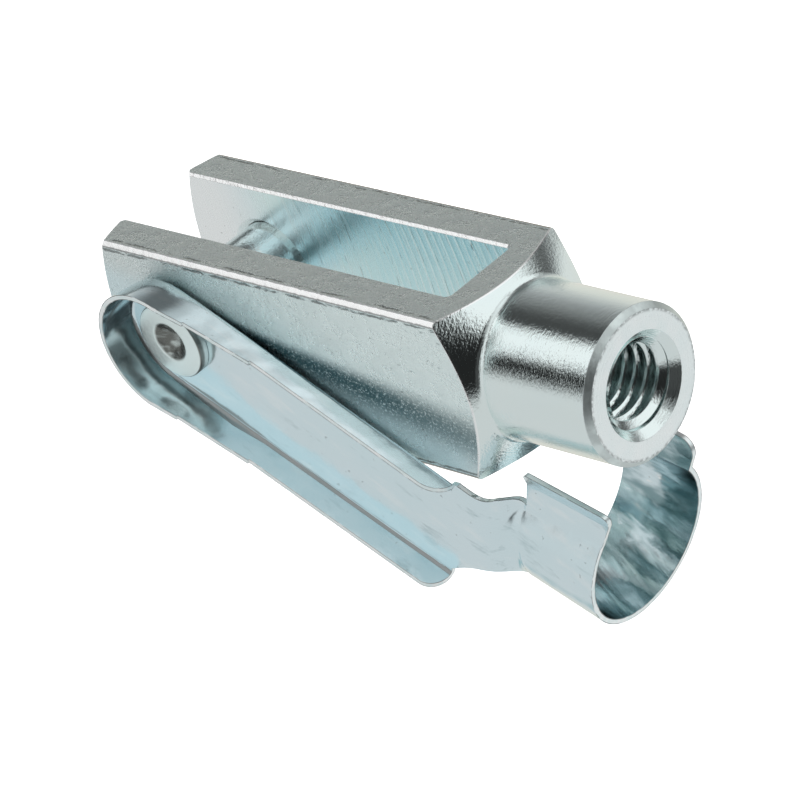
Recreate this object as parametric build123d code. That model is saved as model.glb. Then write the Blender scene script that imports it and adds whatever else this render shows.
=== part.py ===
from build123d import *
import math
import os

# Fork head with a spring clip pin, for the end of a threaded tension rod.
# Millimetres. The origin is where the pin's axis crosses the rod's axis.
# +X runs along the rod towards the threaded neck, the pin lies along Y, and +Z is up.
# The spring clip hangs on the -Y side, swung open.

# Fork head
square = 16.0              # across the flats of the bar
slot_width = 8.0           # between the ears
slot_depth = 32.0          # from the pin's axis to the root of the slot
cutter_radius = 40.0       # the disc that mills the slot leaves a curved root
root_corner = 0.4          # round at the two corners of the root
neck_dia = 14.0            # round neck that carries the thread
neck_start = 36.0          # where the cone meets the neck
body_end = 48.0            # pin's axis to the end face of the neck
cone_angle = 30.0          # slope of the turned shoulder behind the square
neck_fillet = 0.8
neck_chamfer = 0.5
tip_reach = 10.34          # pin's axis to the pole of the domed ear tips
tip_dome = 23.5            # radius of that dome
long_edge_round = 0.5      # on the bar's four long edges
slot_edge_chamfer = 0.25   # along the slot's upper and lower edges
mouth_chamfer = 0.6        # on the ears' inner edges at the mouth
pin_bore_dia = 8.0
bore_chamfer = 0.55        # where the pin bore leaves the ears on the inside
bore_edge = 0.25           # where it leaves them on the outside
thread_dia = 8.0           # major diameter of the rod's thread
thread_mouth_dia = 9.5     # countersink at the end face

# Pin
pin_play = 0.04            # radial play of the pin in the ears
tenon_dia = 6.0            # stepped end that passes through the clip
tenon_play = 0.05          # radial play of the clip on the tenon
head_dia = 7.5             # riveted head
head_height = 1.05
head_round = 0.25
dimple_dia = 4.0
dimple_depth = 1.2
dimple_edge = 0.2          # round at the dimple's rim
pin_tail = 1.0             # how far the pin passes the far ear
pin_tail_chamfer = 0.9

# Spring clip, described as it lies when it is closed along the fork
sheet = 0.5                # thickness of the spring sheet
clip_gap = 0.24            # between the ear's outer face and the clip's web
side_play = 0.03           # along the pin, between web and riveted head
open_angle = 25.7          # how far the clip is swung open
trough_half_width = 5.95   # outside, at the web
trough_taper = 0.73        # degrees that each side closes in towards the neck
trough_end = 32.2          # pin's axis to the end of the side walls, on the middle line
end_skew = 6.5             # degrees that the walls' ends are cut out of square
rim_height = 3.5           # of the wall round the pin, above the web
rim_half_width = 6.43      # outside of that wall at its free edge
shoulder_height = 2.95     # of the wall where the rim's fall ends in a small step
wall_height = 2.2          # of the side walls, above the web
wall_half_width = 6.95     # outside of the side walls, at the height of the rim
rim_run = 3.0              # pin's axis to the first small step in the free edge
wall_run = 11.0            # pin's axis to the second, where the side walls start
wall_step = 0.15           # height of those steps
fold_radius = 0.9          # outside of the fold between web and walls
end_round = 2.0            # at the ends of the side walls

# Strap of the clip, a C that snaps round the fork's neck
strap_width = 8.0          # along the neck
strap_outer = 7.65         # outside radius at its front edge
strap_rear_outer = 7.35    # outside radius at its rear edge
strap_rear_lift = 0.3      # the rear is higher by this, so the strap opens like a bell
strap_reach = 46.37        # pin's axis to the strap's front edge
strap_rise = 2.7           # the strap's centre lies above the trough's middle line
strap_shift = 0.1          # and to the far side of the rod's axis
strap_tilt = 9.7           # degrees that the strap's axis leans up from the trough
near_crease_angle = 144.0  # the round part ends here on the web's side, at the front edge
rear_crease_turn = 6.0     # and this much earlier at the rear edge
far_crease_angle = 35.0    # where it ends on the other side
lip_side = 6.15            # bend of both lips, sideways from the strap's centre
near_lip_bend = 7.1        # and above it
far_lip_bend = 5.9
near_lip_tip = (6.8, 8.7)
far_lip_tip = (6.35, 7.6)
lip_lean = 1.2             # the lips' front corners stand this far before the round part
lip_foot = 4.2             # height at which they start to do so
near_lip_corner = 0.6      # rounds at the lips' corners
far_lip_corner = 1.4
neck_flat_end = 34.2       # the clip's neck is flat from the trough up to here
neck_lip_overlap = 2.2     # the neck also joins this much of the lip above the crease
neck_blend = 0.7           # the neck already follows the strap's round this far behind it
neck_arc_end = 232.0       # how far round the strap the neck reaches
neck_lead = 0.8            # flat lengths beside the walls' end and before the bend
# Edges of that neck: shares of the way from the walls' end to the strap's rear edge, and heights
neck_lower_edge = ((-0.03, -5.3), (0.21, -3.9), (0.45, -2.7), (0.73, -2.2), (0.95, -2.6), (1.11, -3.6))
neck_upper_edge = ((-0.03, 6.0), (0.17, 6.35), (0.45, 6.35), (0.75, 6.05), (1.11, 5.9))

tolerance = 0.001          # for finding edges by their place

half = square / 2
web_in = -half - clip_gap
web_out = web_in - sheet
strap_rear = strap_reach - strap_width * math.cos(math.radians(strap_tilt))


def solid_of(shape):
    """The one solid of a shape, whatever the boolean wrapped it in."""
    return shape.solids().sort_by(SortBy.VOLUME)[-1]


def make_fork_head():
    """Milled bar with two ears, a turned cone and a round neck, all one piece."""
    bar = Box(2 * body_end, square, square)
    bar = fillet(bar.edges().filter_by(Axis.X), long_edge_round)

    corner = half * math.sqrt(2)
    neck_r = neck_dia / 2
    cone_top = neck_start - math.tan(math.radians(cone_angle)) * (corner - neck_r)
    dome_centre = tip_dome - tip_reach

    def dome_x(r):
        return dome_centre - math.sqrt(tip_dome ** 2 - r ** 2)

    outline = ThreePointArc((-tip_reach, 0), (dome_x(half), half), (dome_x(corner), corner))
    outline += Polyline(
        (dome_x(corner), corner), (cone_top, corner), (neck_start, neck_r),
        (body_end - neck_chamfer, neck_r), (body_end, neck_r - neck_chamfer), (body_end, 0), (-tip_reach, 0))
    half_section = make_face(outline)
    neck_corner = half_section.vertices().sort_by_distance((neck_start, neck_r, 0))[0]
    body = bar & revolve(fillet(neck_corner, neck_fillet), Axis.X)

    cutter = Rot(90, 0, 0) * Cylinder(cutter_radius, slot_width)
    cutter = fillet(cutter.edges(), root_corner)
    cutter_x = slot_depth - math.sqrt(cutter_radius ** 2 - half ** 2)
    body -= Pos(cutter_x, 0, 0) * cutter

    body -= Rot(90, 0, 0) * Cylinder(pin_bore_dia / 2, 2 * square)
    thread_run = body_end - slot_depth
    drill = Rot(0, 90, 0) * Cylinder(thread_dia / 2, 2 * thread_run)
    body -= Pos(body_end, 0, 0) * drill

    def inner_edges(shape):
        found = []
        for edge in shape.edges():
            box = edge.bounding_box()
            if box.size.Y < tolerance and abs(abs(box.min.Y) - slot_width / 2) < tolerance:
                found.append(edge)
        return ShapeList(found)

    rims = inner_edges(body).filter_by(GeomType.CIRCLE).filter_by(lambda e: e.radius < pin_bore_dia)
    body = chamfer(rims, bore_chamfer)
    mouth = inner_edges(body).filter_by(lambda e: e.center().X < -pin_bore_dia)
    body = chamfer(mouth, mouth_chamfer)
    long_edges = inner_edges(body).filter_by(lambda e: e.geom_type == GeomType.LINE and e.length > square)
    body = chamfer(long_edges, slot_edge_chamfer)
    outer_rims = body.edges().filter_by(GeomType.CIRCLE).filter_by(
        lambda e: abs(abs(e.arc_center.Y) - half) < tolerance and abs(e.radius - pin_bore_dia / 2) < tolerance)
    body = chamfer(outer_rims, bore_edge)
    thread_rim = body.edges().filter_by(GeomType.CIRCLE).filter_by(
        lambda e: abs(e.arc_center.X - body_end) < tolerance and abs(e.radius - thread_dia / 2) < tolerance)
    body = chamfer(thread_rim, (thread_mouth_dia - thread_dia) / 2)
    return solid_of(body)


def make_clevis_pin():
    """Round pin with a stepped tenon, riveted over in a flat dimpled head."""
    shank = pin_bore_dia / 2 - pin_play
    tenon = tenon_dia / 2
    head = head_dia / 2
    tail = half + pin_tail
    shoulder = web_in + side_play
    head_base = web_out - side_play
    head_top = head_base - head_height
    outline = Polyline(
        (0, tail), (shank - pin_tail_chamfer, tail), (shank, tail - pin_tail_chamfer), (shank, shoulder),
        (tenon, shoulder), (tenon, head_base), (head, head_base), (head, head_top),
        (dimple_dia / 2, head_top), (0, head_top + dimple_depth), close=True)
    section = make_face(outline)
    rim = section.vertices().sort_by_distance((head, head_top, 0))[0]
    section = fillet(rim, head_round)
    dimple_rim = section.vertices().sort_by_distance((dimple_dia / 2, head_top, 0))[0]
    return solid_of(revolve(fillet(dimple_rim, dimple_edge), Axis.Y))


def side_plane(y):
    """Plane seen from the clip's side, x along the fork and y upwards, facing away from the fork."""
    return Plane(origin=(0, y, 0), x_dir=(1, 0, 0), z_dir=(0, -1, 0))


def trough_outline(height, inset):
    """Outline of the trough at a height above the web's inner face: round at the pin, long sides."""
    share = height / (sheet + rim_height)
    end = trough_end + 2 * end_round
    closing = math.tan(math.radians(trough_taper))

    def between(low, high):
        return low + (high - low) * share - inset

    back = between(trough_half_width, rim_half_width)
    middle = between(trough_half_width - wall_run * closing, wall_half_width)
    far = between(trough_half_width - end * closing, wall_half_width - (end - wall_run) * closing)
    outline = ThreePointArc((0, back), (-back, 0), (0, -back))
    outline += Polyline((0, -back), (wall_run, -middle), (end, -far), (end, far), (wall_run, middle), (0, back))
    return side_plane(web_in - height) * make_face(outline)


def trough_block(bottom, top, inset, corner):
    block = loft([trough_outline(bottom, inset), trough_outline(top, inset)])
    floor = block.faces().sort_by(Axis.Y)[-1]
    folds = floor.edges().filter_by(lambda e: e.center().X < trough_end)
    return fillet(folds, corner)


def make_trough():
    """Web with a rim round the pin and a wall on each side, open away from the fork."""
    depth = sheet + rim_height
    trough = trough_block(0, depth, 0, fold_radius)
    trough -= trough_block(sheet, depth + sheet, sheet, fold_radius - sheet)

    far = rim_half_width + sheet
    rim_y = web_out - rim_height
    wall_y = web_out - wall_height
    shoulder_y = web_out - shoulder_height
    beyond = trough_end + end_round
    free_edge = Polyline(
        (-far, web_in), (-far, rim_y), (0, rim_y), (rim_run, shoulder_y - wall_step), (rim_run, shoulder_y),
        (wall_run, wall_y - wall_step), (wall_run, wall_y), (beyond, wall_y), (beyond, web_in), close=True)
    trough &= extrude(make_face(free_edge), 2 * far, both=True)

    end_profile = make_face(Polyline(
        (-far, web_in), (-far, rim_y), (wall_run, rim_y), (wall_run, wall_y), (trough_end, wall_y),
        (trough_end, web_in), close=True))
    end_corner = end_profile.vertices().sort_by_distance((trough_end, wall_y, 0))[0]
    end_profile = fillet(end_corner, end_round)
    skew = math.radians(end_skew)
    keep = extrude(end_profile, 2 * far, dir=(-math.sin(skew), 0, math.cos(skew)))
    keep += extrude(end_profile, 2 * far, dir=(math.sin(skew), 0, -math.cos(skew)))
    return trough & keep


def strap_axis():
    tilt = math.radians(strap_tilt)
    return Vector(math.cos(tilt), 0, math.sin(tilt))


def strap_plane(station):
    """Plane square to the strap's axis, x away from the web and y upwards."""
    centre = Vector(strap_reach, strap_shift, strap_rise) + strap_axis() * station
    return Plane(origin=centre, x_dir=(0, 1, 0), z_dir=strap_axis())


def on_ring(station, angle):
    """Point on the strap's round part, which widens like a bell from its rear edge to its front."""
    share = -station / strap_width
    radius = strap_outer + (strap_rear_outer - strap_outer) * share
    lift = strap_rear_lift * share
    a = math.radians(angle)
    return (radius * math.cos(a), radius * math.sin(a) + lift)


def near_crease_at(station):
    return near_crease_angle - rear_crease_turn * station / strap_width


def strap_section(station):
    """Cross-section of the C: an open ring with two lips."""
    near_crease = on_ring(station, near_crease_at(station))
    far_crease = on_ring(station, far_crease_angle)
    bottom = on_ring(station, -90)
    near_bend = (-lip_side, near_lip_bend)
    far_bend = (lip_side, far_lip_bend)
    path = Line((-near_lip_tip[0], near_lip_tip[1]), near_bend)
    path += Line(near_bend, near_crease)
    path += ThreePointArc(near_crease, bottom, far_crease)
    path += Line(far_crease, far_bend)
    path += Line(far_bend, far_lip_tip)
    return strap_plane(station) * make_face(offset(path, sheet, side=Side.LEFT, kind=Kind.INTERSECTION))


def neck_section(station):
    """Part of the strap's section that the clip's neck runs into."""
    crease = on_ring(station, near_crease_at(station))
    share = neck_lip_overlap / (near_lip_bend - crease[1])
    upper = (crease[0] + (-lip_side - crease[0]) * share, crease[1] + neck_lip_overlap)
    middle = on_ring(station, (near_crease_at(station) + neck_arc_end) / 2)
    path = Line(upper, crease)
    path += ThreePointArc(crease, middle, on_ring(station, neck_arc_end))
    return strap_plane(station) * make_face(offset(path, sheet, side=Side.LEFT, kind=Kind.INTERSECTION))


def neck_flat(x):
    """Flat section of the web, out of square like the walls' ends."""
    low, bend, high = -trough_half_width, neck_lip_overlap, trough_half_width
    outline = Polyline(
        (web_out, high), (web_out, bend), (web_out, low), (web_in, low), (web_in, bend), (web_in, high), close=True)
    skew = math.radians(end_skew)
    plane = Plane(origin=(x, 0, 0), x_dir=(0, 1, 0), z_dir=(math.cos(skew), 0, math.sin(skew)))
    return plane * make_face(outline)


def neck_edge(shares):
    """Points of one edge of the neck, seen from the clip's side."""
    return [(trough_end + (strap_rear - trough_end) * share, height) for share, height in shares]


def make_neck():
    """Narrow sheet that leaves the web flat and bends in to the round of the strap."""
    sheet_body = loft([
        neck_flat(trough_end - neck_lead), neck_flat(trough_end),
        neck_flat(neck_flat_end - neck_lead), neck_flat(neck_flat_end),
        neck_section(-strap_width - neck_blend), neck_section(-strap_width)])
    lower, upper = neck_edge(neck_lower_edge), neck_edge(neck_upper_edge)
    outline = Spline(*lower) + Line(lower[-1], upper[-1]) + Spline(*upper) + Line(upper[0], lower[0])
    return sheet_body & extrude(side_plane(0) * make_face(outline), 2 * half, both=True)


def strap_side(top, corner):
    """Outline of the strap seen from its side: the lips' front corners stand forward."""
    low = -2 * strap_outer
    lean = lip_lean * (top - lip_foot) / (near_lip_tip[1] - lip_foot)
    outline = make_face(Polyline(
        (-strap_width, low), (0, low), (0, lip_foot), (lean, top), (-strap_width, top), close=True))
    centre = Vector(strap_reach, strap_shift, strap_rise)
    side = Plane(origin=centre, x_dir=strap_axis(), z_dir=(0, -1, 0))
    return side * fillet(outline.vertices().sort_by(Axis.Y)[-2:], corner)


def make_strap():
    """The C with its two lips."""
    strap = loft([strap_section(-strap_width), strap_section(lip_lean)])
    near_half = extrude(strap_side(near_lip_tip[1], near_lip_corner), 2 * strap_outer)
    far_half = extrude(strap_side(far_lip_tip[1], far_lip_corner), -2 * strap_outer)
    return strap & (near_half + far_half)


def make_spring_clip():
    """One folded sheet: trough, neck and the strap that snaps round the fork's neck."""
    clip = make_trough() + make_neck() + make_strap()
    clip -= Pos(0, web_in, 0) * Rot(90, 0, 0) * Cylinder(tenon_dia / 2 + tenon_play, 4 * sheet)
    return solid_of(Rot(0, open_angle, 0) * clip)


nodes = {
    "fork_head": make_fork_head(),
    "clevis_pin": make_clevis_pin(),
    "spring_clip": make_spring_clip(),
}
os.makedirs("parts", exist_ok=True)
for name, solid in nodes.items():
    solid.label = name
    export_step(solid, f"parts/{name}.step")
    print(name, round(solid.volume, 1), solid.is_valid)
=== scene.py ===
# %% [markdown]
# # A fork head with its spring clip pin
# The part is one milled and turned fork, one riveted cross pin and one folded spring clip. All
# three are steel with a thin bright zinc plate, so nearly everything seen on them is reflection.
# This lesson keeps the shapes of the packed model, gives each piece a clean skin that reflects
# smoothly, cuts the rod's thread, and then builds the zinc finishes and the white studio.

# %% The frame
import math

import bmesh
import bpy
from mathutils import Matrix, Vector


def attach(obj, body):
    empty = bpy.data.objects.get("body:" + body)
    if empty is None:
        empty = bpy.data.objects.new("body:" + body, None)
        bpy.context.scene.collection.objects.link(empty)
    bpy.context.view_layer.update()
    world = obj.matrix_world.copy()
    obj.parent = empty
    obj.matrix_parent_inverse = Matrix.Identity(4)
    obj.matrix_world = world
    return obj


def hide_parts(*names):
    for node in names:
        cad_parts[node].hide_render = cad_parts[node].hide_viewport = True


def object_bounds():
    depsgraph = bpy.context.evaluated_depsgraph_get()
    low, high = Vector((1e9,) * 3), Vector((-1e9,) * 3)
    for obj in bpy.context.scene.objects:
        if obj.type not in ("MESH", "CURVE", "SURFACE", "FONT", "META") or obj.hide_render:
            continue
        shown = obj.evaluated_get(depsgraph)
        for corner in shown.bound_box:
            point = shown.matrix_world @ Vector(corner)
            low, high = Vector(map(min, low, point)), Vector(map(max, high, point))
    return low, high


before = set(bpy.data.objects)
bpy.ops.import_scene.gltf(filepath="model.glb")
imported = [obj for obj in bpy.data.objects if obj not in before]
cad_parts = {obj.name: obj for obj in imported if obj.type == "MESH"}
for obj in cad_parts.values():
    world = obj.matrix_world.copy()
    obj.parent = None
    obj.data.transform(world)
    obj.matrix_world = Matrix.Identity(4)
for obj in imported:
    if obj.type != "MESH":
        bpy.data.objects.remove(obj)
cad_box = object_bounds()
MM = 0.001
print("nodes:", sorted(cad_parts))

# %% [markdown]
# ## The camera
# The photograph was taken with a long lens from above the clip's side. The three directions
# below are the camera's own right, down and forward, in the part's frame, found by matching
# the fork's corners, and the eye is where that view puts it.

# %% The camera
RIGHT = Vector((0.71336, 0.65113, -0.25912))
DOWN = Vector((0.19251, -0.53760, -0.82093))
FORWARD = Vector((-0.67384, 0.53574, -0.50885))
EYE = Vector((250.68, -186.07, 167.93)) * MM
LENS = 175.99
SENSOR = 36.0
NEAREST = 0.01
FARTHEST = 10.0

camera_data = bpy.data.cameras.new("studio_camera")
camera_data.lens = LENS
camera_data.sensor_width = SENSOR
camera_data.clip_start = NEAREST
camera_data.clip_end = FARTHEST
camera = bpy.data.objects.new("studio_camera", camera_data)
bpy.context.collection.objects.link(camera)
turn = Matrix((RIGHT, -DOWN, -FORWARD)).transposed()
camera.matrix_world = Matrix.Translation(EYE) @ turn.to_4x4()
bpy.context.scene.camera = camera
print("camera at", [round(v, 3) for v in EYE])

# %% [markdown]
# ## Skins
# A CAD node arrives as loose triangles, which reflect like cut glass. Modelling it anew would
# let the render drift away from the packed model, so a copy of it is mended instead. Merging
# its doubles and dissolving its flat faces gives whole faces again. Creases stay sharp, the
# rest is smooth, and weighted normals keep the large flat faces truly flat.

# %% Mending a node
MERGE = 0.003 * MM
FLAT = math.radians(0.2)
CREASE = {"fork_head": 26, "clevis_pin": 35, "spring_clip": 26}


def creased(shape, degrees):
    """Smooths all faces and marks the edges that bend by more than some degrees."""
    for face in shape.faces:
        face.smooth = True
    for edge in shape.edges:
        edge.smooth = edge.calc_face_angle(math.pi) < math.radians(degrees)


def skin_of(node):
    """A bmesh of a node with merged corners, whole flat faces and marked creases."""
    shape = bmesh.new()
    shape.from_mesh(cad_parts[node].data)
    bmesh.ops.remove_doubles(shape, verts=shape.verts, dist=MERGE)
    bmesh.ops.dissolve_limit(
        shape, angle_limit=FLAT, verts=shape.verts, edges=shape.edges, delimit=set())
    creased(shape, CREASE[node])
    return shape


print("creases from", CREASE, "degrees")


# %% A piece on its body
def object_of(name, shape):
    """Makes an object of a bmesh and puts it in the scene."""
    mesh = bpy.data.meshes.new(name)
    shape.to_mesh(mesh)
    shape.free()
    piece = bpy.data.objects.new(name, mesh)
    bpy.context.collection.objects.link(piece)
    print(name, len(mesh.polygons), "faces")
    return piece


def shown(name, shape, body, replaced=(), weighted=True):
    """Makes a piece of a bmesh, riding on a body."""
    piece = object_of(name, shape)
    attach(piece, body)
    if replaced:
        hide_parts(*replaced)
    if weighted:
        normals = piece.modifiers.new("flat faces stay flat", "WEIGHTED_NORMAL")
        normals.keep_sharp = True
    return piece


BODY_OF = {"fork_head": "fork", "clevis_pin": "pin", "spring_clip": "clip"}
skins = {}
for node, body in BODY_OF.items():
    skins[node] = shown(node + "_skin", skin_of(node), body, (node,))

# %% [markdown]
# ## The thread
# The rod's thread is an M8 x 1.25 helix inside the neck. It could be a bump, but its ridges show
# at the bore's mouth, so they are real. One ridge section is spun round the rod's axis with a
# small step along it at each turn, which is how a tap cuts it. The countersink then takes the
# first turn down, so the crests run out along its cone. Spin numbers its faces differently at
# each run, so they are sorted, and the mesh comes out the same every time.


# %% The same order at each run
def place_of(corner):
    return tuple(corner.co)


def corner_numbers(part):
    return sorted(corner.index for corner in part.verts)


def ordered(shape):
    """Numbers corners, edges and faces by their place."""
    corners, edges, faces = shape.verts, shape.edges, shape.faces
    for parts, rank in ((corners, place_of), (edges, corner_numbers), (faces, corner_numbers)):
        for i, part in enumerate(sorted(parts, key=rank)):
            part.index = i
        parts.sort()


print("order by", place_of.__name__, "and", corner_numbers.__name__)

# %% The thread
PITCH = 1.25 * MM
MAJOR = 4.0 * MM
MINOR = 3.33 * MM
SEAT = 0.02 * MM
CREST_FROM = 0.34
CREST_TO = 0.56
FOOT_TO = 0.9
THREAD_FROM = 32.6 * MM
THREAD_TO = 47.95 * MM
CONE_END = 47.25 * MM
STEPS = 72

shape = bmesh.new()
ridge = ((0, MAJOR + SEAT), (CREST_FROM, MINOR), (CREST_TO, MINOR), (FOOT_TO, MAJOR + SEAT))
section = shape.faces.new([
    shape.verts.new((THREAD_FROM + PITCH * along, 0, radius)) for along, radius in ridge])
turns = (THREAD_TO - THREAD_FROM) / PITCH - 1
steps = round(turns * STEPS)
bmesh.ops.spin(
    shape, geom=[section] + section.edges[:] + section.verts[:], cent=(0, 0, 0), axis=(1, 0, 0),
    dvec=(PITCH / STEPS, 0, 0), angle=math.tau * steps / STEPS, steps=steps, use_duplicate=False)
for vert in shape.verts:
    radius = math.hypot(vert.co.y, vert.co.z)
    cone = MAJOR + vert.co.x - CONE_END
    if radius < cone:
        vert.co.y *= min(cone, MAJOR + SEAT) / radius
        vert.co.z *= min(cone, MAJOR + SEAT) / radius
bmesh.ops.recalc_face_normals(shape, faces=shape.faces)
creased(shape, CREASE["fork_head"])
ordered(shape)
thread = shown("rod_thread_ridge", shape, "fork", weighted=False)
print("thread turns:", round(turns, 1))

# %% [markdown]
# ## Shader sums
# Finishes are written as sums on coordinates, which is shorter to read and to change than a
# tree of nodes drawn by hand. A small class wraps a socket, so that ordinary operators add Math
# nodes, and one function adds every other node.


# %% Shader sums
def node_in(tree, kind, settings, *values, out=0, places=None, **named):
    """Adds a node: its settings first, then its inputs by order, by place or by name."""
    node = tree.nodes.new(kind)
    for key, value in settings.items():
        setattr(node, key, value)
    inputs = {**dict(enumerate(values)), **(places or {})}
    inputs.update((key.replace("_", " "), value) for key, value in named.items())
    for key, value in inputs.items():
        if isinstance(value, Wire):
            tree.links.new(value.socket, node.inputs[key])
        else:
            node.inputs[key].default_value = value
    return Wire(tree, node.outputs[out])


class Wire:
    """A node socket that understands + - * / ** and abs, with reflected forms."""

    def __init__(self, tree, socket):
        self.tree = tree
        self.socket = socket

    def node(self, kind, settings, *values, **named):
        """Adds a node whose first input is this wire."""
        return node_in(self.tree, kind, settings, self, *values, **named)

    def math(self, operation, *others):
        return self.node("ShaderNodeMath", {"operation": operation}, *others)

    def vector(self, operation, *others, **named):
        return self.node("ShaderNodeVectorMath", {"operation": operation}, *others, **named)

    def __add__(self, other):
        return self.math("ADD", other)

    def __radd__(self, other):
        return self.math("ADD", other)

    def __mul__(self, other):
        return self.math("MULTIPLY", other)

    def __rmul__(self, other):
        return self.math("MULTIPLY", other)

    def __sub__(self, other):
        return self.math("SUBTRACT", other)

    def __rsub__(self, other):
        return node_in(self.tree, "ShaderNodeMath", {"operation": "SUBTRACT"}, other, self)

    def __truediv__(self, other):
        return self.math("DIVIDE", other)

    def __pow__(self, other):
        return self.math("POWER", other)

    def __abs__(self):
        return self.math("ABSOLUTE")

    def larger(self, other):
        return self.math("MAXIMUM", other)

    def step(self, low, high):
        """0 at low, 1 at high, smooth between, and falling where low is the larger."""
        return self.node("ShaderNodeMapRange", {"interpolation_type": "SMOOTHSTEP"}, low, high)

    def noise(self, scale, detail=2.0, rough=0.5):
        return self.node("ShaderNodeTexNoise", {}, Scale=scale, Detail=detail, Roughness=rough)

    def mix(self, first, second):
        """This share of the second colour over the first."""
        settings = {"data_type": "RGBA"}
        return self.node("ShaderNodeMix", settings, places={6: first, 7: second}, out=2)

    def parts(self):
        """The x, y and z of a vector."""
        split = self.node("ShaderNodeSeparateXYZ", {}).socket.node
        return [Wire(self.tree, part) for part in split.outputs]

    def stretched(self, x, y, z):
        """The point with each direction multiplied, which stretches a pattern."""
        return self.vector("MULTIPLY", (x, y, z))


print("sums add", [name for name in vars(Wire) if not name.startswith("_")])

# %% [markdown]
# ## A bare metal
# Every finish starts at the piece's own coordinates in millimetres, so that its pattern stays on
# the piece as it moves, and ends in a tint, a roughness and a normal. Real edges are never quite
# sharp, so where nothing else is asked, the normal is rounded a little at the edges.

# %% A bare metal
EDGE_BREAK = 0.09 * MM


def new_finish(name):
    """A new material and the object point in millimetres that its patterns are drawn on."""
    material = bpy.data.materials.new(name)
    material.use_nodes = True
    place = node_in(material.node_tree, "ShaderNodeTexCoord", {}, out="Object")
    return material, place.vector("SCALE", Scale=1 / MM)


def vector_of(tree, *parts):
    return node_in(tree, "ShaderNodeCombineXYZ", {}, *parts)


def in_world(tree, kind, direction):
    """A direction given in the piece's frame, as the shader needs it."""
    settings = {"vector_type": kind, "convert_from": "OBJECT", "convert_to": "WORLD"}
    return node_in(tree, "ShaderNodeVectorTransform", settings, direction)


def bumped(height, distance, normal=None):
    """A bump on a given normal, or on edges that look softly broken."""
    if normal is None:
        normal = node_in(height.tree, "ShaderNodeBevel", {"samples": 4}, Radius=EDGE_BREAK)
    return node_in(
        height.tree, "ShaderNodeBump", {}, Distance=distance, Height=height, Normal=normal)


def metal(material, tint, rough, normal):
    """Plugs the tint, roughness and normal of a bare metal into its shader."""
    shader = material.node_tree.nodes["Principled BSDF"]
    for name, wire in (("Base Color", tint), ("Roughness", rough), ("Normal", normal)):
        wire.tree.links.new(wire.socket, shader.inputs[name])
    shader.inputs["Metallic"].default_value = 1.0
    print(material.name, "has", len(material.node_tree.nodes), "nodes")
    return material


print("edges look broken by", EDGE_BREAK / MM, "mm")

# %% [markdown]
# ## The tints
# Zinc plate is a pale metal with a breath of blue, and a metal's base colour is what it takes
# from the light it mirrors. The tints were found by setting the render beside the photograph:
# bluer for the sheet and the slot, paler where it is rubbed and for painted sheen, and dark for
# what clings to it and for painted shade.

# %% The tints
ZINC = (0.79, 0.90, 0.905, 1)
ZINC_WARM = (0.81, 0.90, 0.885, 1)
ZINC_BLUE = (0.69, 0.86, 0.90, 1)
ZINC_SHEET = (0.77, 0.88, 0.92, 1)
ZINC_SLOT = (0.77, 0.92, 0.96, 1)
ZINC_DEEP = (0.69, 0.90, 0.95, 1)
ZINC_BRIGHT = (0.93, 0.97, 0.97, 1)
# Rubbed zinc, and the painted sheen above the dark band on the fork's near face.
ZINC_RUBBED_AND_SHEEN = (0.88, 1.0, 0.99, 1)
WORN = (0.99, 1.0, 1.0, 1)
# Dirt, and the painted shade along the clip's cut edges and in its fold.
DIRT_AND_SHADE = (0.16, 0.18, 0.18, 1)
# Real stains, and the painted dark reflections inside the strap.
STAIN_AND_REFLECTION = (0.20, 0.33, 0.35, 1)
# Painted shade in the pin's dimple and on the side of its head.
HEAD_SHADE = (0.17, 0.18, 0.17, 1)
SHADE = (0.02, 0.085, 0.10, 1)
print("the plate's tint:", ZINC[:3])

# %% [markdown]
# ## The drawn bar
# The fork was drawn as square bar. Under the zinc its skin is an orange peel with fine grain and
# a few pits, and a rough dark border runs beside its rounded edges. The peel could be displaced
# geometry, but at this size a bump looks the same. On the face next to the clip the metal
# mirrors the clip's shaded side as a dark band. The mirrored clip alone comes out too narrow, so
# the band is also painted, along a line that falls towards the rod, with painted reflection
# paler above it and bluer below it. The brighter arc is where the turned shoulder cuts the face.

# %% The drawn bar
NEAR_FACE = (-7.9, -7.99)
BAND_HEIGHT = 3.3
BAND_FALL = -0.2
BAND_WIDTH = 0.4
BAND_SPREAD = 0.1
BAND_DEPTH = -3.8
BORDER_IN = (7.40, 7.48)
BORDER_OUT = (7.72, 7.60)
NECK_RADIUS = 7.0
NECK_START = 36.0
CONE_RISE = 3 ** 0.5
PEEL_HEIGHT = 0.00008


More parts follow.
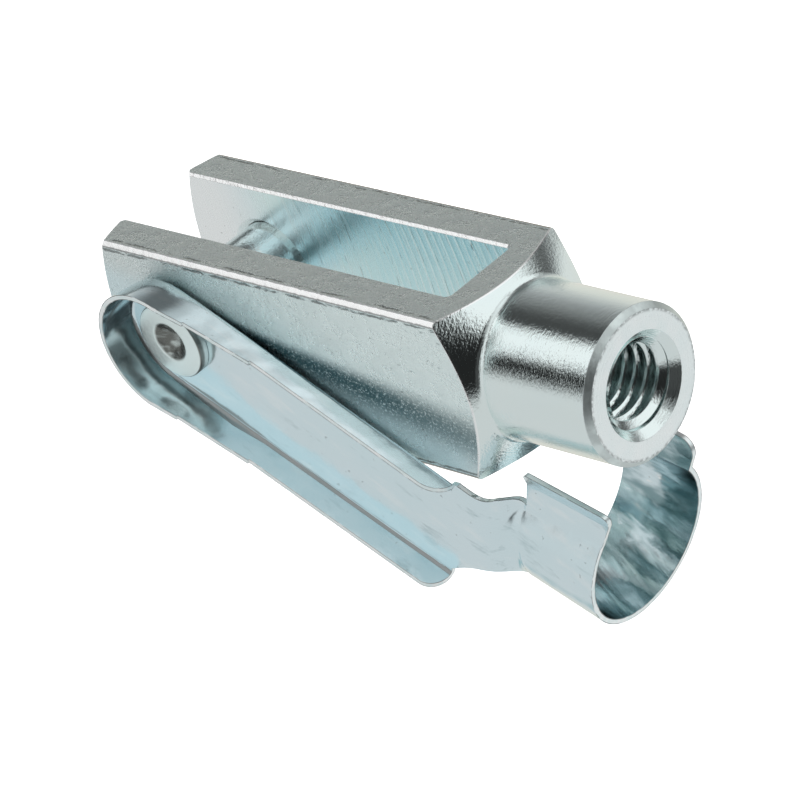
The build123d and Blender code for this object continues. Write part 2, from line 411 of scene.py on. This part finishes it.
def drawn_zinc():
    material, point = new_finish("zinc_drawn")
    x, y, z = point.parts()
    peel, waves = point.noise(4.4, 3, 0.7), point.noise(0.8)
    pits = point.noise(2.4, 3, 0.6).step(0.66, 0.72)
    across = abs(y).math("MINIMUM", abs(z)) + 0.5 * point.noise(1.6, 3, 0.7)
    border = across.step(*BORDER_IN) * across.step(*BORDER_OUT)
    border = border * point.stretched(0.7, 2.0, 2.0).noise(1.0, 3).step(0.40, 0.55)

    near = y.step(*NEAR_FACE)
    rise = z - BAND_HEIGHT - BAND_FALL * x
    band = (rise / (BAND_WIDTH + BAND_SPREAD * x)).step(0.95, 0.15) * rise.step(BAND_DEPTH, 0.0)
    band = band * x.step(4.0, 11.0) * (1 - 0.3 * x.step(22.0, 36.0))
    band = band * near * (0.97 - 0.65 * peel.step(0.52, 0.66))

    tint = point.noise(0.25).mix(ZINC, ZINC_WARM)
    tint = (point.noise(8.0, 1).step(0.60, 0.30) * (0.35 + 0.15 * near)).mix(tint, DIRT_AND_SHADE)
    tint = (peel.step(0.50, 0.70) * 0.7).mix(tint, ZINC_BRIGHT)
    # Painted reflection round the band: paler above it and bluer below it.
    above, below = x.step(4.0, 14.0) * rise.step(-1.0, 2.5), rise.step(2.0, -1.0)
    tint = (near * above * 0.8).mix(tint, ZINC_RUBBED_AND_SHEEN)
    tint = (near * below * 0.7).mix(tint, ZINC_BLUE)
    tint = band.mix(tint, SHADE)
    tint = (pits * 0.3).larger(border * 0.8).mix(tint, DIRT_AND_SHADE)
    shoulder = (y * y + z * z) ** 0.5 - (NECK_RADIUS + (NECK_START - x) * CONE_RISE)
    tint = abs(shoulder).step(0.3, 0.1).mix(tint, ZINC_BRIGHT)
    height = peel + waves - 0.7 * pits - border
    return metal(material, tint, 0.20 + 0.16 * waves, bumped(height, PEEL_HEIGHT))


drawn = drawn_zinc()

# %% [markdown]
# ## The rubbed edges
# Tumbling against other parts rubbed the edges bright. The long ones were rolled round with the
# bar, so they catch one even line of light. Their faces are only a chamfer, and a chamfer
# mirrors one spot, so their normal is taken straight out from the bar's axis. Their sides
# are ragged, where the rubbing ends.

# %% The rubbed edges
RAGGED = (0.42, 0.50)
ROLLED_HEIGHT = 0.000015
RUBBED_HEIGHT = 0.00005


def edge_zinc(name, is_rolled):
    material, point = new_finish(name)
    x, y, z = point.parts()
    wear = point.noise(1.8, 3, 0.6)
    tint = wear.step(0.30, 0.45).mix(ZINC_BRIGHT, WORN)
    rough = 0.12 + 0.16 * wear
    if not is_rolled:
        return metal(material, tint, rough, bumped(wear, RUBBED_HEIGHT))
    sides = abs(abs(y) - abs(z)) + 0.3 * point.stretched(1.2, 3.0, 3.0).noise(1.0, 3, 0.7)
    tint = (sides.step(*RAGGED) * 0.75).mix(tint, DIRT_AND_SHADE)
    outward = point.stretched(0, 1, 1).vector("NORMALIZE")
    outward = in_world(point.tree, "NORMAL", outward)
    return metal(material, tint, rough, bumped(wear, ROLLED_HEIGHT, outward))


edge, rolled = edge_zinc("zinc_edge", False), edge_zinc("zinc_rolled", True)

# %% [markdown]
# ## The milled slot
# A disc cutter 80 mm across cut the slot, and each of its teeth left a fine arc. So the marks
# are noise on the distance from such a circle, where straight marks would be noise on x. Near
# the slot's root the arcs come evenly, as low ridges, and towards the ears' tips they fade. A
# few thin dark scratches follow the same arcs.

# %% The milled slot
CUTTER_RADIUS = 40.0
RIDGES = math.tau / 0.92
MARK_HEIGHT = 0.00007


def milled_zinc():
    material, point = new_finish("zinc_milled")
    x, y, z = point.parts()
    arc = x - (CUTTER_RADIUS ** 2 - z * z) ** 0.5
    line = vector_of(point.tree, arc, y * 0.2, z * 0.05)
    marks = line.noise(3.2, 3, 0.7)
    ridges = (arc * RIDGES + 2 * line.noise(0.4, 1)).math("SINE").step(0.2, 1.0)
    ridges = ridges * x.step(12.0, 20.0)
    worked = x.step(0.0, 8.0)
    scratch = abs(line.noise(0.30, 0) - 0.5).step(0.004, 0.001)
    scratch = scratch * point.noise(0.5, 1).step(0.50, 0.60) * worked
    spots = point.noise(1.8).step(0.70, 0.75)

    tint = point.noise(0.2).mix(ZINC_SLOT, ZINC_DEEP)
    tint = (marks.step(0.35, 0.7) * 0.3).larger(x.step(4.0, -6.0)).mix(tint, ZINC_BRIGHT)
    tint = (ridges * point.noise(0.9).step(0.30, 0.55) * 0.45).mix(tint, ZINC_RUBBED_AND_SHEEN)
    tint = (scratch * 0.7).larger(spots * 0.3).mix(tint, DIRT_AND_SHADE)
    height = worked * (0.45 * marks + 0.3 * ridges) - scratch
    return metal(material, tint, 0.18 + 0.16 * marks, bumped(height, MARK_HEIGHT))


milled = milled_zinc()

# %% [markdown]
# ## The turned neck
# The shoulder, the neck and the ears' tips were turned on a lathe, so their fine grooves run
# round the rod. Noise that is squeezed along the rod and drawn out round it gives them. They
# are the glossiest faces, apart from the dirty rim at the end.

# %% The turned neck
RIM_FROM = (47.40, 47.55)
RIM_INSIDE = (6.2, 6.4)
CORNER = (7.84, 7.92)
GROOVE_HEIGHT = 0.000013


def turned_zinc():
    material, point = new_finish("zinc_turned")
    x, y, z = point.parts()
    grooves = point.stretched(9.0, 0.7, 0.7).noise(1.0, 3, 0.6)
    speckle = point.stretched(8.0, 3.5, 3.5).noise(1.0)
    rim = x.step(*RIM_FROM) * ((y * y + z * z) ** 0.5).step(*RIM_INSIDE)
    tint = point.noise(0.3).mix(ZINC, ZINC_WARM)
    tint = abs(y).larger(abs(z)).step(*CORNER).mix(tint, ZINC_BRIGHT)
    tint = (rim * (0.05 + 0.3 * point.noise(0.5, 3).step(0.35, 0.60))).mix(tint, DIRT_AND_SHADE)
    rough = 0.03 + 0.10 * speckle + 0.30 * rim
    return metal(material, tint, rough, bumped(grooves + 1.4 * speckle, GROOVE_HEIGHT))


turned = turned_zinc()

# %% [markdown]
# ## The faced end
# The neck's end was faced with a tool that moved outwards, so its rings are noise on the radius
# alone. Its rim is a little dirty.

# %% The faced end
FACED_RIM = (6.15, 6.45)
RING_HEIGHT = 0.00002


def faced_zinc():
    material, point = new_finish("zinc_faced")
    x, y, z = point.parts()
    radius = (y * y + z * z) ** 0.5
    rings, fine = vector_of(point.tree, radius, 0.0, 0.0).noise(3.0), point.noise(5.0)
    rim = radius.step(*FACED_RIM) * point.noise(2.5).step(0.35, 0.6)
    tint = (rim * 0.6).mix(point.noise(0.5).mix(ZINC, ZINC_BRIGHT), DIRT_AND_SHADE)
    return metal(material, tint, 0.24 + 0.1 * fine, bumped(rings + fine, RING_HEIGHT))


faced = faced_zinc()

# %% [markdown]
# ## The riveted pin
# The pin's near end was riveted over. Its flat head is rubbed bright, and the punch left a
# dimple, whose shade is painted dark, with a painted highlight as a lighter swirl. The step
# behind the head gets a painted shadow.

# %% The riveted pin
HEAD_AT = (-8.0, -9.0)
DIMPLE = (2.0, 1.75)
HEAD_FLANK = (3.60, 3.70)
FLANK_AT = (-9.1, -9.4)
PIN_HEIGHT = 0.00003


def riveted_zinc():
    material, point = new_finish("zinc_riveted")
    x, y, z = point.parts()
    grain = point.noise(3.0, 3)
    radius = (x * x + z * z) ** 0.5
    head = y.step(*HEAD_AT)
    dimple = radius.step(*DIMPLE) * head
    flank = radius.step(*HEAD_FLANK) * y.step(*FLANK_AT)
    swirl_highlight = point.stretched(0.5, 0.5, 1.2).noise(1.0).step(0.45, 0.60)
    # Painted shade in the dimple and a painted shadow on the head's side, lightened by a painted
    # highlight swirl.
    dark = (dimple * (1 - 0.5 * swirl_highlight)).larger(0.8 * flank)
    tint = dark.mix(head.mix(ZINC, ZINC_RUBBED_AND_SHEEN), HEAD_SHADE)
    rough = 0.12 + 0.1 * grain + 0.25 * head - 0.15 * dimple
    return metal(material, tint, rough, bumped(grain, PIN_HEIGHT))


riveted = riveted_zinc()

# %% [markdown]
# ## The clip's sheet
# Spring sheet is smooth, bluer than the bar, and only softly uneven, with faint scuffs along its
# length. Inside the strap, broad dark and bright streaks, a little askew, are painted
# reflections of the strap's own curve, over low bumps along the same streaks. The upper wall
# bows towards the eye. That shows only in what it reflects, so its normal leans a little, and
# its shape stays flat.

# %% The clip's sheet
CLIP_WAY = Vector((0.901, 0, -0.434))
STRAP_WAY = Vector((0.961, 0, -0.276))
WALL_BOW = (0, -0.46, 0)
BOW_FROM = (2.0, 6.0)
STREAK_LEAN = 0.35
SHEET_HEIGHT = 0.000012


def along_and_across(x, z, way):
    """How far a point lies along a direction in the clip's plane, and across it."""
    return x * way.x + z * way.z, z * way.x - x * way.z


def bowed_normal(tree, x):
    lean = in_world(tree, "VECTOR", WALL_BOW).vector("SCALE", Scale=x.step(*BOW_FROM))
    face = node_in(tree, "ShaderNodeNewGeometry", {}, out="Normal")
    return face.vector("ADD", lean).vector("NORMALIZE")


def sheet_zinc(name, streaked=False, bowed=False):
    material, point = new_finish(name)
    tree = point.tree
    x, y, z = point.parts()
    slow, fine = point.noise(0.35, 1), point.noise(3.0, 3)
    length, width = along_and_across(x, z, CLIP_WAY)
    scuffs = vector_of(tree, length * 0.3, y, width).noise(0.6, 4, 0.65)
    tint = point.noise(0.12, 1).mix(ZINC_SHEET, ZINC_BLUE)
    tint = (scuffs.step(0.50, 0.72) * 0.35).mix(tint, ZINC_BRIGHT)
    tint = (scuffs.step(0.42, 0.26) * 0.3).mix(tint, STAIN_AND_REFLECTION)
    height = 8 * slow + 0.3 * fine
    if streaked:
        length, width = along_and_across(x, z, STRAP_WAY)
        streak = vector_of(tree, length * 0.05, y + STREAK_LEAN * length, width)
        streak = streak.noise(0.36, 3, 0.6)
        # Painted reflections: dark streaks here, and bright ones in the next line.
        tint = (streak.step(0.60, 0.40) * 0.9).mix(tint, STAIN_AND_REFLECTION)
        tint = streak.step(0.60, 0.65).mix(tint, ZINC_BRIGHT)
        height = height + 10 * streak
    tint = (point.noise(1.3).step(0.71, 0.76) * 0.3).mix(tint, DIRT_AND_SHADE)
    normal = bowed_normal(tree, x) if bowed else None
    return metal(material, tint, 0.10 + 0.12 * fine, bumped(height, SHEET_HEIGHT, normal))


outside = sheet_zinc("zinc_sheet_outside")
inside = sheet_zinc("zinc_sheet_inside", streaked=True)
wall = sheet_zinc("zinc_sheet_wall", bowed=True)

# %% [markdown]
# ## Cut edges and folds
# The sheet's cut edges are paler than its faces, with painted shade on either side where the
# burr turns away, and the inside of its tightest fold is painted dark as the shade in the
# crease. The three differ only in how much painted shade they hold.

# %% Cut edges and folds
CUT_HEIGHT = 0.00002
CUT_ROUGH = 0.30


def cut_zinc(name, painted_shade, clear):
    """A pale edge with some share of painted shade, in patches where noise passes clear."""
    material, point = new_finish(name)
    brushed = point.stretched(0.4, 2.0, 1.2).noise(1.0, 3)
    tint = brushed.step(0.35, 0.65).mix(ZINC, ZINC_BRIGHT)
    if painted_shade:
        tint = (painted_shade * point.noise(1.2).step(clear, clear + 0.20)).mix(tint, DIRT_AND_SHADE)
    return metal(material, tint, CUT_ROUGH + 0.1 * brushed, bumped(brushed, CUT_HEIGHT))


cut_edge = cut_zinc("zinc_cut", 0.0, 0.30)
# Painted shade beside the cut edges, and in the fold's crease.
burr = cut_zinc("zinc_burr_shade", 0.85, 0.30)
fold = cut_zinc("zinc_fold", 0.7, 0.05)

# %% [markdown]
# ## Which face gets which finish
# The finish follows the tool that made a face, which its place and direction tell: the bar's
# flats are drawn, the slot is milled, the shoulder, neck and ear tips are turned, the end is
# faced. The rounded and broken edges are rubbed bright.

# %% The fork's faces
HALF = 8.0
SLOT = 4.0
SLOT_ROOT = 32.6
BAR_END = 35.5
NECK_END = 48.0
NEAR = 0.05
BROKEN = 0.6
SQUARE_ON = 0.999
LENGTHWISE = 0.02
FORK_FINISHES = (drawn, milled, turned, faced, edge, rolled)


def fork_finish(middle, normal):
    x, y, z = middle.x, abs(middle.y), abs(middle.z)
    flat = max(abs(normal.x), abs(normal.y), abs(normal.z)) > SQUARE_ON
    if x > NECK_END - NEAR and flat:
        return faced
    if flat and max(y, z) > HALF - NEAR and x < BAR_END:
        return drawn
    if x < BAR_END and abs(normal.x) < LENGTHWISE and min(y, z) > HALF - BROKEN:
        return rolled
    if y < SLOT + NEAR and x < SLOT_ROOT:
        return milled
    if y < SLOT + BROKEN and x < SLOT_ROOT:
        return edge
    return turned


fork_mesh = skins["fork_head"].data
for material in FORK_FINISHES:
    fork_mesh.materials.append(material)
counts = dict.fromkeys((material.name for material in FORK_FINISHES), 0)
for face in fork_mesh.polygons:
    chosen = fork_finish(face.center / MM, face.normal)
    face.material_index = FORK_FINISHES.index(chosen)
    counts[chosen.name] += 1
thread.data.materials.append(turned)
skins["clevis_pin"].data.materials.append(riveted)
print(counts)

# %% [markdown]
# ## The clip's cut edges
# The clip was cut from sheet, so its cut edges are the narrow stretches between two creases.
# They can't be told by direction, because they turn with every fold. So each smooth stretch of
# faces is walked, and its area is compared with the length of the creases round it. Each cut
# edge is then inset, which gives the strip where the burr's shade is painted.

# %% Finding the cut edges
CUT_WIDTH = 0.7 * MM
SLIVER = 0.02 * MM


def stretch_from(start, seen):
    """The faces that join a face smoothly, and the length of the creases round them."""
    stretch, todo, rim = [], [start], 0.0
    seen.add(start.index)
    while todo:
        face = todo.pop()
        stretch.append(face)
        for side in face.edges:
            if not side.smooth:
                rim += side.calc_length()
                continue
            for other in side.link_faces:
                if other.index not in seen:
                    seen.add(other.index)
                    todo.append(other)
    return stretch, rim


def cut_faces(shape):
    """The faces that lie in stretches narrower than CUT_WIDTH, apart from slivers."""
    found, seen = set(), set()
    for start in shape.faces:
        if start.index in seen:
            continue
        stretch, rim = stretch_from(start, seen)
        if rim and SLIVER < 2 * sum(face.calc_area() for face in stretch) / rim < CUT_WIDTH:
            found.update(face.index for face in stretch)
    return [face for face in shape.faces if face.index in found]


print("cut edges are between", SLIVER / MM, "and", CUT_WIDTH / MM, "mm wide")

# %% Cut edges and burrs
BURR = 0.07 * MM
OUTSIDE, CUT, INSIDE, BURRED, FOLDED, WALL = range(6)

clip_mesh = skins["spring_clip"].data
for material in (outside, cut_edge, inside, burr, fold, wall):
    clip_mesh.materials.append(material)
shape = bmesh.new()
shape.from_mesh(clip_mesh)
cut = cut_faces(shape)
for face in cut:
    face.material_index = CUT
border = bmesh.ops.inset_region(
    shape, faces=cut, thickness=BURR, depth=0, use_boundary=True, use_even_offset=False)["faces"]
# The inset strips carry the burr's painted shade.
for face in border:
    face.material_index = BURRED
    face.smooth = True
print("cut faces of the sheet:", len(cut), "with", len(border), "faces of burr")
shape.to_mesh(clip_mesh)
shape.free()

# %% [markdown]
# ## The rest of the clip
# The other faces of the sheet are told apart by place and direction. The upper wall's outside
# gets the bowed sheet. The narrow inside of the tighter bend between the web and the lower wall
# is a crease, and gets painted shade. The strap's inside, with the painted streaks, are the
# faces near its end that look at its own axis.

# %% The rest of the clip
CLIP_UP = Vector((0.434, 0, 0.901))
WALL_END = 33.0 * MM
WALL_TURN = 0.6
WEB_OUT = -8.74 * MM
FOLD_INSIDE = 0.45 * MM
FOLD_BEND = (-0.97, -0.2)
FOLD_TURN = 0.2
STRAP_FRONT = Vector((42.95, 0.1, -17.68)) * MM
STRAP_LENGTH = 9.5 * MM


def on_upper_wall(middle, normal):
    above = middle.x < WALL_END and middle.dot(CLIP_UP) > 0
    return above and normal.dot(CLIP_UP) > WALL_TURN


def in_the_fold(middle, normal):
    bent = FOLD_BEND[0] < normal.y < FOLD_BEND[1] and normal.dot(CLIP_UP) > FOLD_TURN
    return bent and 0 < WEB_OUT - middle.y < FOLD_INSIDE and middle.dot(CLIP_UP) < 0


def inside_the_strap(middle, normal):
    place = middle - STRAP_FRONT
    run = place.dot(STRAP_WAY)
    return run > -STRAP_LENGTH and normal.dot(place - run * STRAP_WAY) < 0


for finish, wanted in ((WALL, on_upper_wall), (FOLDED, in_the_fold), (INSIDE, inside_the_strap)):
    plain = [face for face in clip_mesh.polygons if face.material_index == OUTSIDE]
    picked = [face for face in plain if wanted(face.center, face.normal)]
    for face in picked:
        face.material_index = finish
    print(wanted.__name__, len(picked), "faces")

# %% [markdown]
# ## The neck's root
# The sheet runs on from the trough into the strap's neck. In the packed clip a thin notch is
# left there, between the web's end and the neck's beginning, so a wedge as thick as the sheet
# is joined to the skin to close it. Joining is a Boolean modifier's work, and it runs here on
# two helper objects that are removed again, so that the finished clip is one plain mesh.

# %% The neck's root
NOTCH = ((29.42, -12.60), (30.83, -8.52), (31.51, -8.52), (29.58, -12.60))
WEB_NEAR = -8.739
WEB_FAR = -8.241

shape = bmesh.new()
section = shape.faces.new([shape.verts.new(Vector((x, WEB_NEAR, z)) * MM) for x, z in NOTCH])
swept = bmesh.ops.extrude_face_region(shape, geom=[section])["geom"]
bmesh.ops.translate(
    shape, verts=[part for part in swept if isinstance(part, bmesh.types.BMVert)],
    vec=(0, (WEB_FAR - WEB_NEAR) * MM, 0))
bmesh.ops.recalc_face_normals(shape, faces=shape.faces)
ordered(shape)
wedge = object_of("wedge", shape)
whole = bpy.data.objects.new("whole", clip_mesh)
bpy.context.collection.objects.link(whole)
union = whole.modifiers.new("union", "BOOLEAN")
union.operation = "UNION"
union.solver = "EXACT"
union.object = wedge
evaluated = whole.evaluated_get(bpy.context.evaluated_depsgraph_get())
skins["spring_clip"].data = bpy.data.meshes.new_from_object(evaluated)
for helper in (whole, wedge):
    bpy.data.objects.remove(helper)
joined = skins["spring_clip"].data
print("faces of the joined clip:", len(joined.polygons), "from", len(clip_mesh.polygons))

# %% [markdown]
# ## The studio
# The photograph's ground is plain white, so a white floor and a white wall all round stand for
# it. They light nothing and show in no reflection, because a pale metal is shaped by what it
# mirrors, and that has to be drawn with care.

# %% The floor and the wall
FLOOR_SIZE = 2.4
WALL_RADIUS = 2.2
WALL_RINGS = 24
WALL_TINT = (0.9, 0.9, 0.9, 1)

white = bpy.data.materials.new("studio_white")
white.use_nodes = True
shader = white.node_tree.nodes["Principled BSDF"]
shader.inputs["Base Color"].default_value = WALL_TINT
shader.inputs["Emission Color"].default_value = (1, 1, 1, 1)
shader.inputs["Emission Strength"].default_value = 1.0


def backdrop(name, shape):
    piece = object_of(name, shape)
    piece.data.materials.append(white)
    piece.visible_glossy = False
    piece.visible_diffuse = False
    piece.visible_shadow = False


shape = bmesh.new()
bmesh.ops.create_grid(shape, x_segments=1, y_segments=1, size=FLOOR_SIZE)
bmesh.ops.translate(shape, verts=shape.verts, vec=(0, 0, cad_box[0].z))
backdrop("studio_floor", shape)
shape = bmesh.new()
bmesh.ops.create_uvsphere(
    shape, u_segments=2 * WALL_RINGS, v_segments=WALL_RINGS, radius=WALL_RADIUS)
bmesh.ops.reverse_faces(shape, faces=shape.faces)
backdrop("studio_wall", shape)

# %% [markdown]
# ## The light tent
# What the metal reflects is the world, drawn as a small studio by its height over the table and
# its turn round the part, in degrees. Its up is the way the part lay in the photograph, on the
# strap's round and the tips of the ears, and a turn of 90 degrees faces the clip's side. Lamps
# and cards could be modelled, but a drawn tent needs no tuning against shadows, and its light
# is soft by itself.

# %% Directions in the tent
UP = Vector((0.322, 0, 0.947)).normalized()
BACK = Vector((-UP.z, 0, UP.x))
SIDE = Vector((0, -1, 0))
DEGREES = 180 / math.pi
HALF_TURN = 180.0

scene = bpy.context.scene
scene.view_settings.view_transform = "Standard"
scene.world = bpy.data.worlds.new("light_tent")
scene.world.use_nodes = True
tent = scene.world.node_tree
way = node_in(tent, "ShaderNodeTexCoord", {}, out="Generated")


def towards(direction):
    return way.vector("DOT_PRODUCT", tuple(direction), out="Value")


height = towards(UP).math("ARCSINE") * DEGREES
turned_by = towards(SIDE).math("ARCTAN2", towards(BACK)) * DEGREES


def turned_from(azimuth):
    """How far a direction is turned from an azimuth, either way, in degrees."""
    return abs((turned_by - azimuth).math("WRAP", HALF_TURN, -HALF_TURN))


print("the tent's up:", [round(part, 3) for part in UP])

# %% [markdown]
# ### Table, haze and top
# Below lies a pale table, and above its edge a dark strip gives the metal its contrast. Past the
# rod's end, on the far side, the table is brighter and reaches higher. Behind the ears, away
# from the clip, the strip is lost in a grey haze. High above, the tent is bright again, in two
# rings.

# %% Table, haze and top
TABLE = 0.734
END_TABLE = 0.87
END_AT = -128
DARKEST = 0.02
LIFTED = 0.05
ZENITH = (0.43, 0.42)

dark = turned_from(165).step(8.0, 28.0) * turned_from(46).step(10.0, 40.0)
dark = DARKEST + LIFTED * dark
table = dark + (TABLE - dark) * height.step(0.0, -16.0)
end_table = dark + (END_TABLE - dark) * height.step(6.0, -8.0)
table = table + (end_table - table) * turned_from(END_AT).step(49.0, 39.0)
haze = 0.153 + 0.662 * height.step(33.8, -11.8) - 0.04 * height.step(-30.0, -60.0)
behind = turned_by.step(-5.0, -30.0) * turned_by.step(-125.0, -70.0)
tone = table + (haze - table) * behind
tone = tone + ZENITH[0] * height.step(45.0, 62.0) + ZENITH[1] * height.step(64.0, 72.0)
print("table", TABLE, "and at the rod's end", END_TABLE)

# %% [markdown]
# ### The side wall and the soft boxes
# A bright wall stands on the clip's side. Two soft boxes, one off the ears' tips and a broad one
# past the rod's end, give the neck and the cone their white stripes.

# %% The side wall and the soft boxes
BOX = 1.06
BOX_TOP = (66.0, 61.5)
FRONT_AT = 26.4
SIDE_WALL = 0.76
SIDE_TOP = 0.14

side = turned_by.step(52.0, 57.0) * turned_by.step(110.0, 90.0) * height.step(-30.0, -10.0)
tone = tone + (SIDE_WALL + SIDE_TOP * height.step(8.0, 18.0) - tone) * side
front_box = height.step(6.0, 14.0) * turned_from(FRONT_AT).step(20.0, 12.0)
end_box = height.step(9.2, 33.0) * turned_from(END_AT).step(61.0, 50.0)
tone = tone + (BOX - tone) * front_box.larger(end_box) * height.step(*BOX_TOP)
print("boxes", BOX, "and side wall", SIDE_WALL)

# %% [markdown]
# ### The tent's colour
# The light is almost white. It is a little warmer behind the ears and low down, and a teal
# patch lies deep below, towards the ears' tips. It gives the faces that mirror it the blue
# green that the plate has in the photograph.

# %% The tent's colour
EXPOSURE = 0.925
FOOT_AT = 15
RED, GREEN, BLUE = 0.55, 0.32, 0.30
WARM_RED, WARM_BLUE = 0.03, 0.08

tone = tone * EXPOSURE
foot = height.step(-61.0, -67.0) * turned_from(FOOT_AT).step(22.0, 12.0)
warm = behind * height.step(10.0, -10.0)
light = vector_of(
    tent, tone * (1 - RED * foot + WARM_RED * warm), tone * (1 - GREEN * foot),
    tone * (1 - BLUE * foot - WARM_BLUE * warm))
tent.links.new(light.socket, tent.nodes["Background"].inputs["Color"])
print("the tent has", len(tent.nodes), "nodes")

# %% [markdown]
